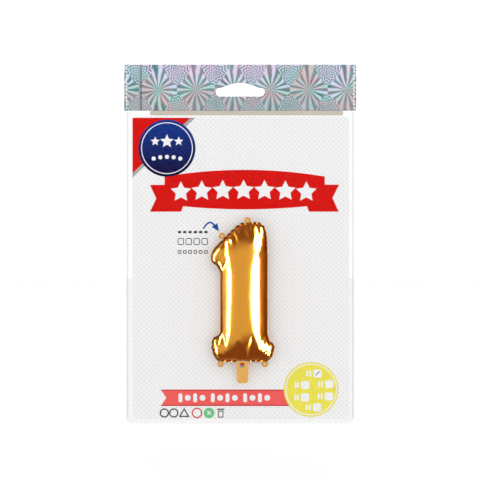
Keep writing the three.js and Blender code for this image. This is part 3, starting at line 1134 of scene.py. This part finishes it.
SLOT = {"half": 15.8, "depth": 9.0, "corner": 2.9, "shoulder": (11.5, -2.9), "peak": 1.8}
SHIM_LINE = (-64.4, -63.85)  # the dark line where two runs of the hologram meet
WAVE_ROOM = 0.12


def slot_loop():
    """The hang slot: flat below, round at its ends, and peaked in the middle."""
    half, depth, corner = SLOT["half"], SLOT["depth"], SLOT["corner"]
    shoulder_x, shoulder_z = SLOT["shoulder"]
    end = arc(half - corner, corner - depth, corner, -90, 0, 9)
    rise = catmull([(half, corner - depth), (half - 0.5, shoulder_z - 1), (shoulder_x, shoulder_z)], 5)[1:]
    roof = catmull([(shoulder_x, shoulder_z), (6.2, -0.9), (SLOT["peak"], 0)], 6)[1:]
    right = np.vstack([end, rise, roof])
    return np.vstack([right, (right * (-1, 1))[::-1]])


def header_sheet(name, node, y, seed, material):
    outer, _ = walk(rectangle(HEADER_LOW[0], HEADER_HIGH[0], HEADER_LOW[2], HEADER_HIGH[2]), 2.0)
    flat, faces = triangulate([outer, slot_loop()], 2.2)
    wave = [0.16 * noise.noise(Vector((x * 0.06, z * 0.05, seed))) for x, z in flat]
    piece = thick_sheet(name, flat, faces, y + np.array(wave), FILM, material)
    return declare(piece, "header", "hologram_film", node)


def weld_stitches(name, x, y, white):
    """A dashed weld line down one side of the header."""
    low, high = HEADER_LOW[2] + 0.8, HEADER_HIGH[2] - 0.8
    count = 12
    pitch = (high - low) / count
    points, faces, start = [], [], 0
    for i in range(count):
        bottom = low + i * pitch
        flat, tris = triangulate([rounded(x - 0.5, x + 0.5, bottom, low + (i + 0.62) * pitch, 0.2, 3)])
        points.append(flat)
        faces.append(tris + start)
        start += len(flat)
    piece = thick_sheet(name, np.vstack(points), np.vstack(faces), y, 0.05, white, False)
    return declare(piece, "header", "hologram_film")


def build_header():
    film = hologram()
    white = ink("weld_white", (0.82, 0.84, 0.84), 0.05)
    dark = ink("shim_grey", (0.07, 0.09, 0.1))
    front_y = HEADER_LOW[1] + WAVE_ROOM
    back_y = -front_y
    header_sheet("header_front", "header_front_film", front_y, 1.0, film)
    header_sheet("header_back", "header_back_film", back_y, 7.0, film)
    for side, hand in ((-1, "left"), (1, "right")):
        x = side * (HEADER_HIGH[0] - 1.55)
        weld_stitches("weld_front_" + hand, x, front_y - 0.2, white)
        weld_stitches("weld_back_" + hand, x, back_y + 0.22, white)
    line = rectangle(*SHIM_LINE, HEADER_LOW[2], HEADER_HIGH[2])
    shim = filled_sheet("shim_line", [line], None, front_y - 0.16, 0.03, dark, False)
    declare(shim, "header", "hologram_film")


# ---- bag ----

CELL = 1.25
WELD = 2.0
FOOT_RADIUS = 3.6
CLEARANCE = 0.25  # from the film to what it lies over,
TAIL_CLEARANCE = 1.9  # to the seam's plane at the tail,
TAB_CLEARANCE = 1.2  # and at the tabs
FOLD_DEPTH = 0.55
BEND = 1.1  # this much on each side of the crease is passed on as the span of a bend, which goes unused


def balloon_heights(front, xs, zs):
    """How far the balloon reaches forward of the weld plane, on the film's grid."""
    reach = np.zeros((len(zs), len(xs)))
    p = vertex_values(front, "co") / MM
    i = np.clip(np.rint((p[:, 2] - zs[0]) / CELL).astype(int), 1, len(zs) - 2)
    j = np.clip(np.rint((p[:, 0] - xs[0]) / CELL).astype(int), 1, len(xs) - 2)
    forward = FRONT_HIGH[1] - p[:, 1] + CLEARANCE
    for di in (-1, 0, 1):
        for dj in (-1, 0, 1):
            np.maximum.at(reach, (i + di, j + dj), forward)
    return reach


def tail_heights(reach, xs, zs):
    """Adds the tail and the tabs to what the film has to clear."""
    x, z = np.meshgrid(xs, zs)
    tail = (np.abs(x - TAIL_X) < 5.5) & (z > TAIL_LOW[2] - 1.5) & (z < ORIGIN_Z + 4)
    reach[tail] = np.maximum(reach[tail], FRONT_HIGH[1] - SEAM_Y + TAIL_CLEARANCE)
    for (px, pz), _ in TABS.values():
        near = np.hypot(x - px - ORIGIN_X, z - pz - ORIGIN_Z) < 5
        reach[near] = np.maximum(reach[near], FRONT_HIGH[1] - SEAM_Y + TAB_CLEARANCE)
    return reach


def neighbours_mean(height):
    return (height[:-2, 1:-1] + height[2:, 1:-1] + height[1:-1, :-2] + height[1:-1, 2:]) / 4


def stretched_over(obstacle):
    """A film held at its edges and drawn over an obstacle, then eased a little at its creases."""
    height = obstacle.copy()
    for rounds, give in ((2600, 0), (3, 0.12)):
        for _ in range(rounds):
            height[1:-1, 1:-1] = np.maximum(neighbours_mean(height), obstacle[1:-1, 1:-1] - give)
    return height


def front_film_heights(front, xs, zs):
    x, z = np.meshgrid(xs, zs)
    edge = np.minimum(np.minimum(x - xs[0], xs[-1] - x), z - zs[0])
    on_card = (FRONT_HIGH[1] - CARD_LOW[1] + CLEARANCE) * smooth((edge - WELD / 2) / 1.3)
    obstacle = np.maximum(tail_heights(balloon_heights(front, xs, zs), xs, zs), on_card)
    obstacle[-1] = FRONT_HIGH[1] - CARD_LOW[1] + CLEARANCE
    height = stretched_over(obstacle)
    turn = np.arctan2((z - np.mean(zs)) * 0.7, x - ORIGIN_X)
    away = np.hypot((z - np.mean(zs)) * 0.7, x - ORIGIN_X)
    fold = [
        noise.noise(Vector((3.2 * math.cos(t), 3.2 * math.sin(t), r * 0.012)))
        for t, r in zip(turn.ravel(), away.ravel())
    ]
    room = smooth((edge - 2) / 14) * smooth((away - 16) / 22)
    return height + FOLD_DEPTH * np.clip(np.array(fold).reshape(x.shape) + 0.15, 0, None) * room


def round_foot(x, z, left, right, bottom):
    """Draws the film's two bottom corners in to quarter circles."""
    side = np.where(x < (left + right) / 2, -1, 1)
    centre = np.where(side < 0, left, right) - side * FOOT_RADIUS
    across = np.clip(side * (x - centre) / FOOT_RADIUS, 0, 1)
    down = np.clip((bottom + FOOT_RADIUS - z) / FOOT_RADIUS, 0, 1)
    corner = (across > 0) & (down > 0)
    new_x = centre + side * FOOT_RADIUS * across * np.sqrt(1 - down**2 / 2)
    new_z = bottom + FOOT_RADIUS - FOOT_RADIUS * down * np.sqrt(1 - across**2 / 2)
    return np.where(corner, new_x, x), np.where(corner, new_z, z)


def front_film(front, material):
    """The clear front film, drawn over the balloon."""
    xs = np.arange(FRONT_LOW[0], FRONT_HIGH[0] + CELL / 2, CELL)
    zs = np.arange(FRONT_LOW[2], FRONT_HIGH[2] + CELL / 2, CELL)
    xs += (FRONT_HIGH[0] - xs[-1]) / 2
    zs += FRONT_HIGH[2] - zs[-1]
    height = front_film_heights(front, xs, zs)
    x, z = np.meshgrid(xs, zs)
    y = np.maximum(FRONT_HIGH[1] - height, FRONT_LOW[1] + 0.02)
    x, z = round_foot(x, z, xs[0], xs[-1], zs[0])
    points = np.stack([x.ravel(), y.ravel(), z.ravel()], 1)
    piece = new_object("bag_front", points, grid_faces(len(zs), len(xs)), material)
    give_thickness(piece, FILM, 1.0)
    return declare(piece, "bag", "clear_film", "bag_front_film")


def back_film(material):
    """The clear back film, which runs on up into the header."""
    left, right, bottom = BAG_LOW[0], BAG_HIGH[0], BAG_LOW[2]
    top = box_mm("header_weld_tongue")[1][2]
    foot = np.arange(bottom, bottom + 4, 0.9)
    wall = np.arange(bottom + 6, CREASE_Z - 2.5, 3.0)
    crease = np.arange(CREASE_Z - 2.4, CREASE_Z + 2.4, 0.24)
    zs = np.r_[foot, wall, crease, top]
    inset = foot - bottom
    xs = np.r_[left + inset, np.linspace(left + 6, right - 6, 50), (right - inset)[::-1]]
    x, z = np.meshgrid(xs, zs)
    x, z = round_foot(x, z, left, right, bottom)
    flat = np.stack([x.ravel(), z.ravel()], 1)
    wave = np.array([0.1 * noise.noise(Vector((p[0] * 0.05, p[1] * 0.03, 5.0))) for p in flat])
    inside = smooth((CREASE_Z - 6 - flat[:, 1]) / 20)
    points = np.stack([flat[:, 0], wave * inside, flat[:, 1]], 1)
    piece = new_object("bag_back", points, grid_faces(len(zs), len(xs)), material)
    give_thickness(piece, FILM, 0.0)
    start, end = on_axis(CREASE_Z + BEND), on_axis(CREASE_Z - BEND)
    nodes = ("bag_back_film", "header_weld_tongue")
    declare_blend(piece, ("header", "bag"), start, end, "clear_film", *nodes)


def weld_line(name, x, y, material):
    """The ribbed weld down one side of the bag."""
    low, high = BAG_LOW[2] + FOOT_RADIUS, CREASE_Z - 0.8
    zs = np.arange(low, high, 0.5)
    ribs = 0.05 * (np.arange(len(zs)) % 2)
    points = []
    for dx, share in ((-0.55, 0.2), (-0.25, 1.0), (0.25, 1.0), (0.55, 0.2)):
        points.append(np.stack([np.full(len(zs), x + dx), y - share * (0.05 + ribs), zs], 1))
    faces = grid_faces(len(points), len(zs))[:, [0, 3, 2, 1]]
    piece = new_object(name, np.vstack(points), faces, material)
    give_thickness(piece, 0.05, 1.0)
    return declare(piece, "bag", "clear_film")


TAPE_Y = -0.36


def mouth(clear):
    """The lip along the bag's mouth, and the tape behind it."""
    bottom, top = LIP_LOW[2] - 0.35, LIP_HIGH[2]
    outer, _ = walk(rectangle(LIP_LOW[0], LIP_HIGH[0], bottom, top), 1.0)
    lip = filled_sheet("lip_film", [outer], 0.7, LIP_LOW[1] + 0.1, FILM, clear)
    start = on_axis(LIP_LOW[2] - 0.3)
    declare_blend(lip, ("bag", "lip"), start, start + on_axis(0.5), "clear_film", "mouth_lip")
    top = HEADER_LOW[2] - 0.1
    outer, _ = walk(rounded(TAPE_LOW[0], TAPE_HIGH[0], TAPE_LOW[2], top, 0.3), 1.0)
    tape = filled_sheet("tape", [outer], 1.0, TAPE_Y, 0.08, plain_film("tape", (0.70, 0.64, 0.53), 0.42, 0.9))
    declare(tape, "lip", "seal_tape", "seal_tape")


def build_bag(front):
    clear = clear_film("clear_film", 0.006, (0.977, 0.978, 0.979))
    weld = clear_film("weld_film", 0.03, (0.93, 0.93, 0.935))
    front_film(front, clear)
    back_film(clear)
    for side, x in (("left", BAG_LOW[0] + 0.9), ("right", BAG_HIGH[0] - 0.9)):
        weld_line("weld_" + side, x, FRONT_HIGH[1] - 0.02, weld)
    mouth(clear)


# ---- stage, lights and camera ----

FRAME_HEIGHT = 310.4
LENS = 85
SENSOR = 36
AIM = Vector((-0.13, 0, -101.7)) * MM


def sky():
    """Even white light. Shiny surfaces see a warm studio that darkens to brown above and below."""
    world = bpy.data.worlds.new("studio")
    bpy.context.scene.world = world
    world.use_nodes = True
    s = Nodes(world.node_tree)
    background = s.tree.nodes["Background"]
    background.inputs["Strength"].default_value = 1.0
    direction = s.node("TexCoord").outputs["Generated"]
    height = s.math("ABSOLUTE", s.node("SeparateXYZ", direction).outputs["Z"])
    studio = s.ramp(height, (0.3, (0.74, 0.62, 0.40)), (0.62, (0.22, 0.08, 0.05)))
    glossy = s.node("LightPath").outputs["Is Glossy Ray"]
    s.set(background.inputs["Color"], s.mix(glossy, (1.1, 1.1, 1.11), studio))


def panel(name, azimuth, distance, width, height, power, rise=0.0):
    """A soft light panel that faces the pack. Azimuth is to the right of the view, in degrees."""
    light = bpy.data.lights.new(name, "AREA")
    light.shape = "RECTANGLE"
    light.size, light.size_y = width, height
    light.energy = power
    lamp = bpy.data.objects.new(name, light)
    a = math.radians(azimuth)
    lamp.location = AIM + Vector((math.sin(a) * distance, -math.cos(a) * distance, rise))
    lamp.rotation_euler = (AIM - lamp.location).to_track_quat("-Z", "Y").to_euler()
    lamp.visible_camera = False
    bpy.context.scene.collection.objects.link(lamp)
    return lamp


def floor():
    s = Shader("floor")
    s.principled(base_color=s.mix(s.noise(3.0), (0.955, 0.955, 0.955), (0.97, 0.97, 0.97)), roughness=0.9)
    size, z = 4.0, CAD_LOW.z - 0.04
    corners = [(-size, -size, z), (size, -size, z), (size, size, z), (-size, size, z)]
    plane = new_object("floor", np.array(corners) / MM, [(0, 1, 2, 3)], s.material)
    plane.visible_glossy = False


def camera():
    data = bpy.data.cameras.new("camera")
    data.lens = LENS
    data.sensor_width = SENSOR
    seen = bpy.data.objects.new("camera", data)
    distance = FRAME_HEIGHT * MM * LENS / SENSOR
    seen.location = AIM + Vector((0, -distance, 0))
    seen.rotation_euler = (math.pi / 2, 0, 0)
    bpy.context.scene.collection.objects.link(seen)
    bpy.context.scene.camera = seen


def build_stage():
    camera()
    sky()
    floor()
    panel("key", 20, 1.3, 0.8, 0.8, 0.6, rise=0.7).visible_glossy = False
    bpy.context.scene.view_settings.view_transform = "Standard"


def light_foil(pieces):
    """Two tall panels that shine on the foil alone, and put its two long highlights on it."""
    lit = bpy.data.collections.new("foil_pieces")
    for piece in pieces:
        lit.objects.link(piece)
    strips = (
        panel("strip_left", -76, 0.9, 0.30, 1.3, 22),
        panel("strip_right", 53, 0.9, 0.72, 1.8, 70),
    )
    for strip in strips:
        strip.visible_diffuse = False
        strip.light_linking.receiver_collection = lit


# ---- the whole pack ----

build_stage()
# The seam's near-black brown is painted dark reflection where the welded rim turns away from the lights.
painted_dark_rim_foil = satin_foil("seam_foil_painted_dark", (0.34, 0.13, 0.02), (0.03, 0.01, 0.005), 0.3, 0.95)
tab_gold = satin_foil("tab_foil", (0.90, 0.52, 0.09), (0.74, 0.37, 0.05), 0.36, 0.45)
tail_gold = satin_foil("tail_foil", (0.96, 0.57, 0.135), (0.82, 0.44, 0.09), 0.5, 0.25)
balloon = build_balloon(gold_foil(), painted_dark_rim_foil)
light_foil(balloon)
build_tail_and_tabs(tab_gold, tail_gold)
build_card()
build_header()
build_bag(balloon[0])
